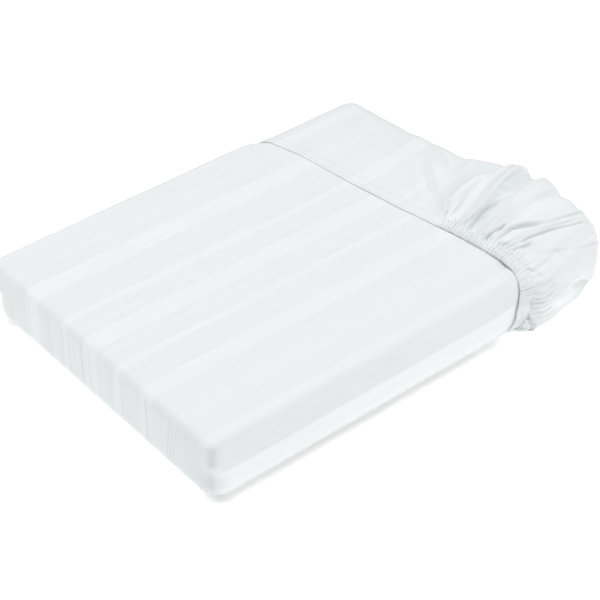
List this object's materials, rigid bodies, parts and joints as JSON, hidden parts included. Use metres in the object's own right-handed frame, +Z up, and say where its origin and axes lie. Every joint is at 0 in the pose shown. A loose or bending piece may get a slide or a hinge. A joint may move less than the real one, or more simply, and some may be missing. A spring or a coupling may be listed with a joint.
{
  "type": "fitted sheet",
  "caption": "White cotton fitted sheet with tone-on-tone stripes, folded into a flat rectangular pack with an elastic-gathered corner turned over its far end.",
  "frame": {"origin": "middle of the flat underside of the folded pack, on the surface it lies on", "axes": "+Z up; +Y along the pack's length, towards the end with the turned-over corner; +X along its width, towards the gathered corner"},
  "size_m": [0.2612, 0.344, 0.0766],
  "materials": {
    "cotton": "white cotton satin with woven tone-on-tone stripes"
  },
  "bodies": {
    "root": {"fitted_sheet": "cotton"}
  },
  "joints": []
}
